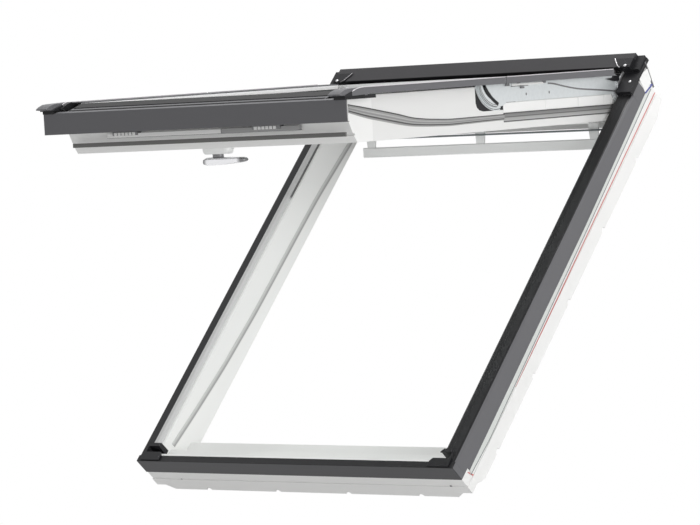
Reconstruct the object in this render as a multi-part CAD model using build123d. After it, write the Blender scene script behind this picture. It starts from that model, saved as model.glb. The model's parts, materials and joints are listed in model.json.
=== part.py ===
from build123d import *
import math
import os

# Roof window lying flat: X across, Y up the roof slope, Z outward (towards the sky), millimetres.
# Origin: centre of the frame on the plane of its inner (room) face. The sash stands open at rest.

# Frame, overall
frame_width = 780.0
frame_length = 980.0
frame_depth = 89.0
sheet = 1.2
stile_width = 41.0
body_inset = 1.5
flange_drop = 36.0
line_height = 31.0

# Frame, bottom rail steps, measured up the slope from the bottom edge and down from the cover top
rail_cover_width = 14.0
rail_crest_width = 20.0
rail_ledge_depth = 30.0
rail_ledge_end = 50.0
rail_slope_end = 73.0
rail_lip_depth = 66.0
rail_lip_end = 95.0

# Frame, top rail steps
head_lip_reach = 90.0
head_lip_depth = 64.0
head_wall = 13.0
head_notch = 33.0
foot_chamfer = 11.0

# Frame covers
stile_cover_width = 22.0
seal_drop = 6.0
cover_joint_reach = 87.0
flange_step_reach = 55.0
upper_cover_rise = 8.5
hood_depth = 35.0
hood_end = 18.0
hood_height = 23.0
hood_flange = 10.0

# Lining clips: half-round notches along the inner edge of the outer faces
notch_radius = 6.0
notch_reach = 9.0
notch_count_rail = 4
notch_count_stile = 5
notch_start = 105.0
foot_cut_height = 13.0
foot_cut_flat = 22.0
foot_cut_run = 40.0

# Top hinge, measured up the slope and down from the cover top
hinge_reach = 93.0
hinge_below = 51.0
open_angle = 46.5
hinge_pin_radius = 4.0
running_gap = 0.05

# Sash, in its own frame: across, up from the cover's front edge, outward from that edge
sash_front_along = 25.0
sash_front_above = 20.0
sash_play = 5.0
cover_overlap = 27.5
sash_foot = 58.0
sash_top_clear = 4.0
sash_inner = -79.0
sash_outer = 4.0
sash_rail_front = 36.0
sash_member = 43.0
sash_top_member = 53.0
front_cover_height = 40.0
stile_cover_top = 18.6
stile_cover_flange = 12.0
cover_inner_step = 26.0
gasket_stand = 1.2

# Glass unit
pane = 4.0
glass_gap = 16.0
glass_top = 6.0
glass_bite = 10.0
glass_play = 3.0

# Centre pivot with curved guides
pivot_offset = 27.0
pivot_above = 20.0
slot_outer = 54.5
slot_inner = 46.5
slot_start = -169.0
slot_end = -18.0
guide_half = 60.0
guide_low = -42.0
guide_high = 12.0
foot_arc_end = -62.0
key_sector = 27.0
key_gap = 0.2
arm_gap = 1.6
arm_sheet = 2.8
arm_bottom = -28.3
arm_mid_depth = 14.0
arm_end_radius = 12.0

# Handle and ventilation flap
handle_base_length = 70.0
lever_length = 102.0
flap_thickness = 3.0
bar_end_clear = 44.0
bar_height = 20.0
bar_bracket_inset = 20.0
bar_bracket_root = 12.5
bar_bracket_foot = 9.5
bar_drop = 34.0

# Corner block in the stile's foot
block_edge = 10.0
block_back = 44.0
block_depth = 25.0
block_flap = 3.0

# End cap of the hood
cap_rise = 6.5
cap_sheet = 1.5
cap_reach = 42.0
cap_near = 26.0
cap_back = 14.0
cap_drop = 10.0
cap_foot = 22.0
block_slot_clear = 2.0
block_slot_inset = 10.0
block_slot_start = 20.5
block_slot_stop = 34.0

# Frame seals and striker plates
seal_start = 4.0
frame_gasket_width = 11.0
frame_gasket_thick = 2.2
striker_share = 0.218
upper_cover_start = 5.0

# Hinge bracket
bracket_thick = 2.5
bracket_screw_radius = 2.5
bracket_screw_head = 4.0
bracket_screw_length = 17.0

# Arm details
foot_inner = 45.0
foot_outer = 56.0
foot_arc_start = -167.0
key_reach = 10.6
guide_thick = 3.0
cross_gap = 3.0
cross_width = 34.0
cross_low = -8.0
cross_high = 2.0
arm_cover_reach = 58.0

# Sash details
rail_shelf = 0.5
step_pane_start = 50.0
spacer_width = 9.0
seal_foot = 46.2
slope_run = 45.0
slope_rise = 14.0
fold_depth = 8.0
lip_depth = 6.0
cap_length = 50.0
lock_rail_start_share = -0.395
lock_rail_end_share = 0.669
lock_left_share = -0.552
lock_right_share = 0.43
lock_length = 50.0
handle_place = -8.0
handle_along = 84.5
spindle_place = -33.0
spindle_radius = 5.0
handle_plate = 11.0
handle_neck = 18.0
lever_thick = 11.0
lever_tail = 12.0
flap_hinge_reach = 54.0
flap_end_reach = 5.0
bar_reach = 11.0

os.makedirs("parts", exist_ok=True)

# Derived places in the part's own frame
half_width = frame_width / 2
y_bottom = -frame_length / 2
half_clear = half_width - stile_width
head_lip_start = frame_length - head_lip_reach
cover_joint = frame_length - cover_joint_reach
rail_notch_pitch = frame_width / (notch_count_rail + 0.457)
stile_notch_pitch = (frame_length - 2 * notch_start) / (notch_count_stile - 0.6)
hinge_along = frame_length - hinge_reach
sash_width = 2 * (half_clear - sash_play)
sash_cover_width = sash_width + 2 * cover_overlap
sash_top = hinge_along - sash_front_along - sash_top_clear
pivot_along = frame_length / 2 - pivot_offset
cross_start = sash_top + cross_gap
cross_stop = cross_start + cross_width
arm_cover_end = sash_top - arm_cover_reach
block_end = half_width - block_edge
seal_inner = half_clear + seal_start
upper_cover_inner = half_clear + upper_cover_start
striker_place = frame_width * striker_share
hood_half = half_width - hood_end
hinge_y = y_bottom + hinge_along
hinge_z = frame_depth - hinge_below
half_sash = sash_width / 2
half_cover = sash_cover_width / 2
cover_inner_half = half_sash - cover_inner_step
block_slot_end = half_cover + block_slot_clear
block_slot_inner = half_sash - block_slot_inset
flap_half = half_sash - bar_end_clear
bar_pitch = flap_half - bar_bracket_inset
flap_hinge = sash_top - flap_hinge_reach
flap_end = sash_top - flap_end_reach
bar_along = sash_top - bar_reach
lock_left = half_sash * lock_left_share
lock_right = half_sash * lock_right_share
lock_rail_start = half_sash * lock_rail_start_share
lock_rail_end = half_sash * lock_rail_end_share
arm_inner_x = half_sash + arm_gap
arm_outer_x = arm_inner_x + arm_sheet
eye_along = hinge_along - sash_front_along
eye_above = -hinge_below - sash_front_above
glass_bottom = glass_top - 2 * pane - glass_gap

hinge_turn = Pos(0, hinge_y, hinge_z) * Rot(-open_angle, 0, 0) * Pos(0, -hinge_y, -hinge_z)
sash_place = hinge_turn * Pos(0, y_bottom + sash_front_along, frame_depth + sash_front_above)


def along(distance):
    """Part Y of a distance up the slope from the frame's bottom edge."""
    return y_bottom + distance


def block(x0, x1, y0, y1, z0, z1):
    """A box between two corners."""
    size = (abs(x1 - x0), abs(y1 - y0), abs(z1 - z0))
    return Pos((x0 + x1) / 2, (y0 + y1) / 2, (z0 + z1) / 2) * Box(*size)


def prism_x(points, x0, x1):
    """A (y, z) outline carried along X."""
    face = Plane.YZ.offset(x0) * make_face(Polyline(*points, close=True))
    return extrude(face, amount=x1 - x0)


def prism_y(points, y0, y1):
    """An (x, z) outline carried along Y."""
    face = Plane.XZ.offset(-y0) * make_face(Polyline(*points, close=True))
    return extrude(face, amount=-(y1 - y0))


def prism_z(points, z0, z1):
    """An (x, y) outline carried along Z."""
    face = Plane.XY.offset(z0) * make_face(Polyline(*points, close=True))
    return extrude(face, amount=z1 - z0)


def rod_x(radius, x0, x1, y, z):
    """A round bar along X."""
    return Pos((x0 + x1) / 2, y, z) * Rot(0, 90, 0) * Cylinder(radius, abs(x1 - x0))


def rod_y(radius, y0, y1, x, z):
    """A round bar along Y."""
    return Pos(x, (y0 + y1) / 2, z) * Rot(90, 0, 0) * Cylinder(radius, abs(y1 - y0))


def rod_z(radius, z0, z1, x, y):
    """A round bar along Z."""
    return Pos(x, y, (z0 + z1) / 2) * Cylinder(radius, abs(z1 - z0))


def mirrored(shape, side):
    """The shape itself on the right (side 1), or its mirror image on the left (side -1)."""
    return shape if side > 0 else mirror(shape, about=Plane.YZ)


def arc_point(radius, angle):
    """A (y, z) point about the pivot, in sash coordinates."""
    turn = math.radians(angle)
    return pivot_along + radius * math.cos(turn), pivot_above + radius * math.sin(turn)


def ring_sector(inner, outer, start, end, x0, x1):
    """A sector of a ring about the pivot axis, between two angles in degrees."""
    middle = (start + end) / 2
    edges = [
        ThreePointArc(arc_point(outer, start), arc_point(outer, middle), arc_point(outer, end)),
        Line(arc_point(outer, end), arc_point(inner, end)),
        ThreePointArc(arc_point(inner, end), arc_point(inner, middle), arc_point(inner, start)),
        Line(arc_point(inner, start), arc_point(outer, start)),
    ]
    face = Plane.YZ.offset(x0) * make_face(Wire(edges).edges())
    return extrude(face, amount=x1 - x0)


def save(name, shape, place=None):
    """Write one node's STEP file, moved to its place first."""
    placed = shape if place is None else place * shape
    export_step(placed, "parts/" + name + ".step")


# Frame members

def stile(side):
    """White stile: stepped outer face, sloping crest under the seal, notches, bracket pocket."""
    top = frame_depth - sheet
    outer = half_width - body_inset
    crest = half_width - stile_cover_width
    outline = [
        (half_clear, 0), (half_width, 0), (half_width, line_height), (outer, line_height),
        (outer, top - 4.5), (outer - 4.5, top), (crest, top), (half_clear + 1, top - seal_drop),
        (half_clear, top - seal_drop - 1),
    ]
    body = prism_y(outline, along(rail_crest_width), along(frame_length - head_wall))
    for index in range(notch_count_stile):
        y = along(notch_start + index * stile_notch_pitch)
        body -= rod_x(notch_radius, half_width - notch_reach, half_width + 1, y, 0)
    body -= bracket_plate()
    for y, z in bracket_screw_points():
        body -= rod_x(bracket_screw_radius, half_clear, half_clear + bracket_screw_length, y, z)
    body -= corner_pocket()
    body -= foot_cut()
    end = along(frame_length - head_notch)
    body -= block(hood_half - sheet, half_width + 1, end, along(frame_length), -1, frame_depth)
    body -= prism_x([(end + 1, -1), (end + 1, foot_chamfer), (end, foot_chamfer),
                     (end - 4 * foot_chamfer, -1)], hood_half - sheet, half_width + 1)
    return mirrored(body, side)


def corner_pocket():
    """Space for the black corner block."""
    return block(half_clear, block_end, along(rail_cover_width), along(block_back),
                 frame_depth - block_depth, frame_depth + 9)


def foot_cut():
    """Cut at the bottom corner of the frame where the flashing passes."""
    front = prism_y([(half_clear + 1, 0), (half_width - foot_cut_flat, foot_cut_height),
                     (half_width + 1, foot_cut_height), (half_width + 1, -1), (half_clear + 1, -1)],
                    along(-1), along(foot_cut_run))
    flank = prism_x([(along(foot_cut_run), 0), (along(foot_cut_flat), foot_cut_height),
                     (along(-1), foot_cut_height), (along(-1), -1), (along(foot_cut_run), -1)],
                    half_clear, half_width + 1)
    return front & flank


def frame_bottom_rail():
    """White bottom rail: crest under its cover, drained ledge, slope and inner lip."""
    z = frame_depth
    inner = [
        (along(0), 0), (along(0), line_height), (along(body_inset), line_height),
        (along(body_inset), z - sheet), (along(rail_cover_width), z - sheet),
        (along(rail_crest_width), z - 3), (along(rail_crest_width + 2), z - rail_ledge_depth + 2),
        (along(rail_ledge_end), z - rail_ledge_depth), (along(rail_slope_end), z - rail_lip_depth),
        (along(rail_lip_end), z - rail_lip_depth), (along(rail_lip_end), 0),
    ]
    ends = inner[:6] + [(along(rail_crest_width), 0)]
    body = prism_x(inner, -half_clear, half_clear)
    for side in (-1, 1):
        end = prism_x(ends, half_clear, half_width)
        end -= block(half_width - body_inset, half_width + 1, along(-1), along(rail_crest_width + 1),
                     line_height, z + 1)
        corner = half_width - body_inset
        end -= prism_y([(corner - 4.5, z - sheet), (corner + 1, z - sheet), (corner + 1, z - sheet - 5.5)],
                       along(rail_cover_width), along(rail_crest_width + 1))
        end -= corner_pocket()
        end -= foot_cut()
        body += mirrored(end, side)
    for index in range(notch_count_rail):
        x = (index - (notch_count_rail - 1) / 2) * rail_notch_pitch
        body -= rod_y(notch_radius, along(-1), along(notch_reach), x, 0)
    for side in (-1, 1):
        body -= mirrored(block(striker_place - 26, striker_place + 26, along(28), along(44),
                               z - rail_ledge_depth - 1, z), side)
    return body


def frame_top_rail():
    """White top rail: inner lip and the outer wall that carries the hood."""
    z = frame_depth
    wall = along(frame_length - head_wall)
    outer = along(frame_length - sheet)
    half = hood_half - sheet
    body = block(-half_clear, half_clear, along(head_lip_start), wall, 0, z - head_lip_depth)
    body += block(-half, half, wall, outer, 0, z + hood_height - sheet)
    return body


# Frame covers

def lower_stile_cover(side):
    """Folded sheet with a rounded shoulder and a skirt over the stile's outer face."""
    z = frame_depth
    radius = 6.0
    edge = half_width - stile_cover_width
    centre = half_width - radius
    turn = math.sqrt(0.5)
    outer_arc = ThreePointArc((centre, z), (centre + radius * turn, z - radius + radius * turn),
                              (half_width, z - radius))
    small = radius - sheet
    inner_arc = ThreePointArc((half_width - sheet, z - radius),
                              (centre + small * turn, z - radius + small * turn), (centre, z - sheet))
    edges = [
        Line((edge, z), (centre, z)), outer_arc,
        Line((half_width, z - radius), (half_width, z - flange_drop)),
        Line((half_width, z - flange_drop), (half_width - sheet, z - flange_drop)),
        Line((half_width - sheet, z - flange_drop), (half_width - sheet, z - radius)), inner_arc,
        Line((centre, z - sheet), (edge, z - sheet)), Line((edge, z - sheet), (edge, z)),
    ]
    face = Plane.XZ.offset(-along(rail_cover_width)) * make_face(Wire(edges).edges())
    body = extrude(face, amount=-(cover_joint - rail_cover_width))
    body -= corner_pocket()
    return mirrored(body, side)


def upper_stile_cover(side):
    """Raised side flange beside the hinge, cut back below the hood."""
    z = frame_depth + upper_cover_rise
    start = along(cover_joint)
    step = along(frame_length - flange_step_reach)
    stop = along(frame_length)
    body = block(half_width - sheet, half_width, start, step, frame_depth - flange_drop, z)
    body += block(half_width - sheet, half_width, step, stop, frame_depth, z)
    return mirrored(body, side)


def head_block(side):
    """Black plastic cover over the hinge, with the end cap of the hood."""
    z = frame_depth + upper_cover_rise
    start = along(cover_joint)
    stop = along(frame_length)
    wall = along(frame_length - head_wall)
    outer = half_width - sheet
    body = block(upper_cover_inner, outer, start, wall, z - 2, z)
    body += block(upper_cover_inner, upper_cover_inner + 2, start, wall, frame_depth - 4, z)
    body += block(upper_cover_inner, outer, start, start + 2, frame_depth, z)
    body += block(hood_half, outer, wall, stop, frame_depth, z)
    body += block(hood_half, outer, along(frame_length - hood_depth), stop, z, z + cap_rise)
    body += hood_plate(z + cap_rise)
    return mirrored(body, side)


def hood_plate(low):
    """Thin part of the end cap, folded over the top and the front of the hood."""
    top = frame_depth + hood_height
    high = top + cap_sheet
    front = along(frame_length - hood_depth)
    rear = along(frame_length - cap_back)
    side = hood_half + cap_sheet
    body = prism_z([(hood_half - cap_reach, rear), (side, rear), (side, front - cap_sheet),
                    (hood_half - cap_near, front - cap_sheet)], top, high)
    step = half_clear + bracket_thick + 1
    body += prism_y([(hood_half - cap_near, high), (side, high), (side, top - cap_foot),
                     (step, top - cap_foot), (step, top - cap_drop),
                     (hood_half - cap_near - 5, top - cap_drop)], front - cap_sheet, front)
    body += block(hood_half, side, front - cap_sheet, rear, low, high)
    return body


def bottom_rail_cover():
    """Folded sheet over the bottom rail's crest with a skirt in front and short end returns."""
    z = frame_depth
    depth = along(rail_cover_width)
    body = block(-half_width, half_width, along(0), depth, z - sheet, z)
    body += block(-half_width, half_width, along(0), along(sheet), z - flange_drop, z)
    for side in (-1, 1):
        body += mirrored(block(half_width - sheet, half_width, along(0), depth, z - flange_drop, z), side)
    return body


def hood():
    """Head cover: top sheet, front flange, end flanges and the skirt behind."""
    top = frame_depth + hood_height
    front = along(frame_length - hood_depth)
    back = along(frame_length)
    low = top - hood_flange
    body = block(-hood_half, hood_half, front, back, top - sheet, top)
    body += block(-hood_half, hood_half, front, front + sheet, low, top)
    body += block(-hood_half, hood_half, back - sheet, back, frame_depth - flange_drop, top)
    for side in (-1, 1):
        body += mirrored(block(hood_half - sheet, hood_half, front, back, low, top), side)
    return body


def corner_block(side):
    """Black corner piece: plug in the stile, top flap, and the slot the sash cover drops into."""
    z = frame_depth
    plug = block(half_clear, block_end, along(rail_cover_width), along(block_back), z - block_depth, z)
    near = half_clear - 18
    far = block_end
    flap = prism_z([(near, along(2)), (near, along(13)), (near + 20, along(40)), (far - 9, along(42)),
                    (far, along(21)), (far, along(2))], z, z + block_flap)
    slot = block(block_slot_inner, block_slot_end, along(block_slot_start), along(block_slot_stop),
                 z - block_depth + 2, z + 9)
    return mirrored(plug + flap - slot, side)


def weather_seal(side):
    """Rubber strip on the stile's sloping crest."""
    z = frame_depth - sheet
    crest = half_width - stile_cover_width
    step = seal_drop * (crest - seal_inner) / (crest - half_clear - 1)
    points = [(seal_inner, z - step), (seal_inner, z - step + 3.2), (seal_inner + 6, z + 1.6),
              (crest, z + 1.2), (crest, z)]
    body = prism_y(points, along(block_back), along(cover_joint))
    return mirrored(body, side)


def frame_gasket(side):
    """Grey seal along the stile's inner face."""
    middle = frame_length / 2
    line = [(44, -18), (67, -20.6), (122, -29.7), (180, -42), (238, -52), (middle - 149, -56.5),
            (middle - 45, -60), (middle + 58, -61.6), (middle + 160, -60.6), (hinge_along - 97, -64)]
    half = frame_gasket_width / 2
    upper = [(along(a), frame_depth + z + half) for a, z in line]
    lower = [(along(a), frame_depth + z - half) for a, z in reversed(line)]
    return mirrored(prism_x(upper + lower, half_clear - frame_gasket_thick, half_clear), side)


def striker_plate(side):
    """Steel plate let into the bottom rail's ledge, where the lock bites."""
    z = frame_depth - rail_ledge_depth
    body = block(striker_place - 26, striker_place + 26, along(28), along(44), z - 1, z + 1)
    body -= rod_z(3, z - 2, z + 2, striker_place - 18, along(36))
    body -= rod_z(3, z - 2, z + 2, striker_place + 18, along(36))
    return mirrored(body, side)


# Top hinge

def bracket_screw_points():
    """(y, z) of the two screws of a bracket."""
    return [(hinge_y + 70, frame_depth - 13.5), (hinge_y + 56, frame_depth - 27)]


def bracket_plate():
    """Triangular steel plate set flush into the stile at the head."""
    z = frame_depth
    points = [
        (hinge_y - 15, z - 66), (hinge_y + 16, z - 66), (hinge_y + 75, z - 24), (hinge_y + 78, z + 11),
        (hinge_y + 28, z + 12), (hinge_y - 15, z - 30),
    ]
    return prism_x(points, half_clear, half_clear + bracket_thick)


def hinge_bracket(side):
    """Bracket with the bore of the hinge pin and two screw holes."""
    body = bracket_plate()
    body -= rod_x(hinge_pin_radius, half_clear - 1, half_clear + bracket_thick + 1, hinge_y, hinge_z)
    for y, z in bracket_screw_points():
        body -= rod_x(bracket_screw_head, half_clear - 1, half_clear + bracket_thick + 1, y, z)
    return mirrored(body, side)


def hinge_pin(side):
    """Pin riveted in the bracket; its head keeps the arm on."""
    body = rod_x(hinge_pin_radius, arm_inner_x - 0.6, half_clear + bracket_thick, hinge_y, hinge_z)
    body += rod_x(hinge_pin_radius + 2.5, arm_inner_x - 1.3, arm_inner_x - 0.3, hinge_y, hinge_z)
    return mirrored(body, side)


def bracket_screws(side):
    """Two countersunk screws holding the bracket to the stile."""
    screws = []
    for y, z in bracket_screw_points():
        screw = rod_x(bracket_screw_head, half_clear + 0.3, half_clear + bracket_thick, y, z)
        screw += rod_x(bracket_screw_radius, half_clear + 1, half_clear + bracket_screw_length, y, z)
        screws.append(mirrored(screw, side))
    return Compound(screws)


# Arms, in sash coordinates

def arm(side):
    """Side arm: long bar under its cover, hinge eye, lug for the cross cover, curved slider foot."""
    top = stile_cover_top - sheet
    low = arm_bottom
    bar = [
        (pivot_along + 5, top), (arm_cover_end, top), (cross_start, cross_high - sheet),
        (cross_stop, cross_high - sheet), (cross_stop, cross_low), (cross_start + 4, cross_low - 2),
        (eye_along + arm_end_radius, eye_above), (eye_along - arm_end_radius, eye_above),
        (arm_cover_end + 21, low), (pivot_along + 3, low), (pivot_along - 12, low + 8.7),
        (pivot_along - 22, low + 20), (pivot_along - 28.5, low + 32.6), (pivot_along - 32, low + 42),
    ]
    body = prism_x(bar, arm_inner_x, arm_outer_x)
    body += rod_x(arm_end_radius, arm_inner_x, arm_outer_x, eye_along, eye_above)
    body += ring_sector(foot_inner, foot_outer, foot_arc_start, foot_arc_end, arm_inner_x, arm_outer_x)
    body += ring_sector(slot_inner + key_gap, slot_outer - key_gap, foot_arc_start,
                        foot_arc_start + key_sector, arm_inner_x - key_reach, arm_inner_x + 1)
    body -= rod_x(hinge_pin_radius + running_gap, arm_inner_x - 1, arm_outer_x + 1, eye_along, eye_above)
    return mirrored(body, side)


def side_cover(start, stop, side):
    """Folded sheet over a stile of the sash: top, outer flange, inner flange."""
    top = stile_cover_top
    body = block(cover_inner_half, half_cover, start, stop, top - sheet, top)
    body += block(half_cover - sheet, half_cover, start, stop, top - stile_cover_flange, top)
    body += block(cover_inner_half, cover_inner_half + sheet, start, stop, glass_top + 1.2, top)
    return mirrored(body, side)


def arm_cover(side):
    """Upper sash cover, which stays with the arm when the sash turns."""
    return side_cover(pivot_along + 1, arm_cover_end, side)


def cross_cover():
    """Sheet channel between the two arms above the sash's top rail."""
    body = block(-arm_inner_x, arm_inner_x, cross_start, cross_stop, cross_high - sheet, cross_high)
    body += block(-arm_inner_x, arm_inner_x, cross_start, cross_start + sheet, cross_low, cross_high)
    body += block(-arm_inner_x, arm_inner_x, cross_stop - sheet, cross_stop, cross_low, cross_high)
    return body


# Sash, in its own coordinates

def sash_bottom_rail():
    """White bottom rail: upright front, chamfer with a groove, glass rebate."""
    front = sash_rail_front
    inner = sash_foot + sash_member + 2
    seat = glass_bottom
    outline = [
        (front, rail_shelf), (front, -front_cover_height), (46, -60), (47, -62), (51.5, -62),
        (51.5, -66), (49, -66), (sash_foot, sash_inner), (inner, sash_inner), (inner, seat),
        (inner - glass_bite - glass_play, seat), (inner - glass_bite - glass_play, rail_shelf),
    ]
    return prism_x(outline, -half_sash, half_sash)


def sash_stile(side):
    """White stile with the glass rebate and the pocket of the curved guide."""
    inner = half_sash - sash_member + 2
    seat = glass_bottom
    edge = inner + glass_bite + glass_play
    outline = [(inner, sash_inner), (half_sash, sash_inner), (half_sash, sash_outer),
               (edge, sash_outer), (edge, seat), (inner, seat)]
    start = sash_foot + sash_member + 2
    body = prism_y(outline, start, sash_top - sash_top_member)
    body -= prism_x(guide_outline(), half_sash - guide_thick, half_sash + 1)
    body -= ring_sector(slot_inner - 0.5, slot_outer + 0.5, slot_start - 0.5, slot_end + 0.5,
                        arm_inner_x - key_reach - 0.5, half_sash + 1)
    return mirrored(body, side)


def sash_top_rail():
    """White top rail with the glass rebate."""
    inner = sash_top - sash_top_member
    seat = glass_bottom
    edge = inner + glass_bite + glass_play
    outline = [(inner, sash_inner), (sash_top - sheet, sash_inner), (sash_top - sheet, sash_outer),
               (edge, sash_outer), (edge, seat), (inner, seat)]
    return prism_x(outline, -half_sash, half_sash)


def pane_limits():
    """Half width, inner pane start and end of the glass unit."""
    half = half_sash - sash_member + 2 + glass_bite
    return half, sash_foot + sash_member + 2 - glass_bite, sash_top - sash_top_member + glass_bite


def outer_pane():
    """Outer pane, longer at the foot than the inner one."""
    half, start, stop = pane_limits()
    return block(-half, half, step_pane_start, stop, glass_top - pane, glass_top)


def inner_pane():
    """Inner pane."""
    half, start, stop = pane_limits()
    return block(-half, half, start, stop, glass_bottom, glass_bottom + pane)


def glass_spacer():
    """Spacer frame between the panes."""
    half, start, stop = pane_limits()
    low = glass_bottom + pane
    high = glass_top - pane
    body = block(-half, half, start, stop, low, high)
    body -= block(-half + spacer_width, half - spacer_width, start + spacer_width,
                  stop - spacer_width, low - 1, high + 1)
    return body


def outer_glazing_seal():
    """Black seal on the outer pane beside the covers."""
    half = cover_inner_half - 2
    inner = half_sash - sash_member
    stop = sash_top - sash_top_member + 6
    body = block(-half, half, seal_foot, stop, glass_top, glass_top + 2.5)
    body -= block(-inner, inner, seal_foot + 14, stop - 7, glass_top - 1, glass_top + 4)
    body += block(-half, half, seal_foot, seal_foot + 9, glass_top + 2.5, glass_top + 6)
    return body


def sash_bottom_cover():
    """Deep front sheet, sloping top, lip underneath back to the rail."""
    low = -front_cover_height
    rise = slope_rise / slope_run
    near = fold_depth
    far = slope_run
    body = block(-half_cover, half_cover, 0, sheet, low, 0)
    body += prism_x([(0, -sheet), (0, 0), (near, near * rise), (near, near * rise - sheet)],
                    -half_cover, half_cover)
    half = cover_inner_half - 1.5
    body += prism_x([(near, near * rise - sheet), (near, near * rise), (far, slope_rise),
                     (far, slope_rise - sheet)], -half, half)
    body += block(-half, half, far - sheet, far, rail_shelf, slope_rise - sheet)
    body += block(-half_cover, half_cover, 0, lip_depth, low, low + sheet)
    body += block(-half_sash + 1, half_sash - 1, lip_depth, sash_rail_front, low, low + sheet)
    return body


def sash_side_cover(side):
    """Lower sash cover, which turns with the sash."""
    return side_cover(cap_length, pivot_along - 1.5, side)


def corner_cap(side):
    """Black plastic end of the side cover, rounded down to the front."""
    top = stile_cover_top
    outline = [
        (cap_length, top), (cap_length - 14, top - 0.9), (24, top - 3.2), (10, top - 6.8),
        (0, top - 10.2), (-6, top - 12.6), (-6, top - 14.2), (fold_depth, 4.4), (cap_length - 13, 4.4),
        (cap_length - 13, rail_shelf), (cap_length, rail_shelf),
    ]
    body = prism_x(outline, half_sash - 4, half_sash)
    rim = outline[:9] + [(cap_length, 4.4)]
    body += prism_x(rim, half_sash, half_cover + 2.5)
    return mirrored(body, side)


def sash_top_cover():
    """Sheet over the top rail, folded down to the pane and behind the rail."""
    high = glass_top + 4
    narrow = cover_inner_half - 2
    start = sash_top - sash_top_member + 7
    body = block(-half_sash + 1, half_sash - 1, start, sash_top, high - sheet, high)
    body += block(-narrow, narrow, start, start + sheet, glass_top, high - sheet)
    body += block(-half_sash + 1, half_sash - 1, sash_top - sheet, sash_top, -22, high - sheet)
    return body


def guide_outline():
    """(ys, zs) outline of the guide plate in the side of the sash."""
    left = pivot_along - guide_half
    right = pivot_along + guide_half
    low = guide_low
    return [
        (left, guide_high), (left, low + 16), (left + 3, low + 8), (left + 10, low + 2.5),
        (left + 21, low), (right - 12, low), (right, low + 12), (right, guide_high),
    ]


def pivot_guide(side):
    """Curved steel guide in which the slider of the arm runs."""
    body = prism_x(guide_outline(), half_sash - guide_thick, half_sash - 0.1)
    body -= ring_sector(slot_inner, slot_outer, slot_start, slot_end,
                        half_sash - guide_thick - 1, half_sash + 1)
    return mirrored(body, side)


def sash_gasket(side):
    """Dark seal along the side of the sash, curving down from the front corner."""
    reach = pivot_along
    end = sash_top - 53
    upper = [(38, -9), (81, -16.7), (180, -34.5), (213, -42), (256, -46.8), (300, -49.8), (340, -50.6),
             (reach, -49.5), (end, -49.5)]
    lower = [(end, -62.5), (reach, -61.5), (322, -63.6), (280, -62.7), (240, -60.8), (211, -58),
             (179, -52), (100, -38), (60, -31), (44, -28)]
    return mirrored(prism_x(upper + lower, half_sash, half_sash + gasket_stand), side)


def rail_gasket():
    """Black seal in the groove of the sash's bottom rail."""
    return block(-half_sash + 4, half_sash - 4, 49.4, 51.5, -66, -62)


def lock_rail():
    """Grey lock bar under the front cover."""
    low = -front_cover_height
    body = block(lock_left - 5, lock_rail_end, 8, sash_rail_front, low - sheet, low)
    body += block(lock_rail_start, lock_rail_end, 8, 8 + sheet, low - 7, low - sheet)
    return body


def lock_fitting(x0, x1):
    """Lock case at an end of the bar."""
    low = -front_cover_height
    body = block(x0, x1, 9.2, 30, low - 6, low - sheet)
    body -= rod_y(2, 9, 12, (x0 + x1) / 2, low - 3.6)
    return body


def handle_base():
    """Oval plate and neck under the lever."""
    z = sash_inner
    half = handle_base_length / 2
    radius = 11.0
    plate = z - handle_plate
    neck = z - handle_neck
    body = block(handle_place - half + radius, handle_place + half - radius, handle_along - radius,
                 handle_along + radius, plate, z)
    for shift in (-half + radius, half - radius):
        body += rod_z(radius, plate, z, handle_place + shift, handle_along)
    body += rod_z(9, neck, plate, spindle_place, handle_along)
    body -= rod_z(spindle_radius + running_gap, neck - 1, z - 1, spindle_place, handle_along)
    return body


def handle_lever():
    """Flat lever, rounded at both ends, on a round spindle."""
    z = sash_inner - handle_neck - 0.5
    start = spindle_place - lever_tail
    stop = start + lever_length
    radius = 9.0
    body = block(start + radius, stop - radius, handle_along - radius, handle_along + radius, z - lever_thick, z)
    for x in (start + radius, stop - radius):
        body += rod_z(radius, z - lever_thick, z, x, handle_along)
    body += rod_z(spindle_radius, z, sash_inner - 2, spindle_place, handle_along)
    return body


# Ventilation flap, in sash coordinates

def vent_flap():
    """Hinged flap on the room face of the top rail."""
    z = sash_inner - 1
    body = block(-flap_half, flap_half, flap_hinge, flap_end, z - flap_thickness, z)
    body += rod_x(flap_thickness / 2, -flap_half, flap_half, flap_hinge, z - flap_thickness / 2)
    return body


def vent_bar():
    """Control bar across the top of the sash."""
    z = sash_inner - 1 - bar_drop
    half = flap_half
    body = block(-half, half, bar_along - 4, bar_along + 4, z - bar_height, z)
    edges = body.edges().filter_by(Axis.X)
    return fillet(edges, 2.5)


def bar_bracket(index):
    """Arm between the flap and the control bar."""
    z = sash_inner - 1 - flap_thickness
    x = index * bar_pitch
    low = sash_inner - 1 - bar_drop
    outline = [(x - bar_bracket_root, z), (x + bar_bracket_root, z), (x + bar_bracket_foot, low),
               (x - bar_bracket_foot, low)]
    return prism_y(outline, bar_along - 2, bar_along + 2)


sides = {"left": -1, "right": 1}

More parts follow.
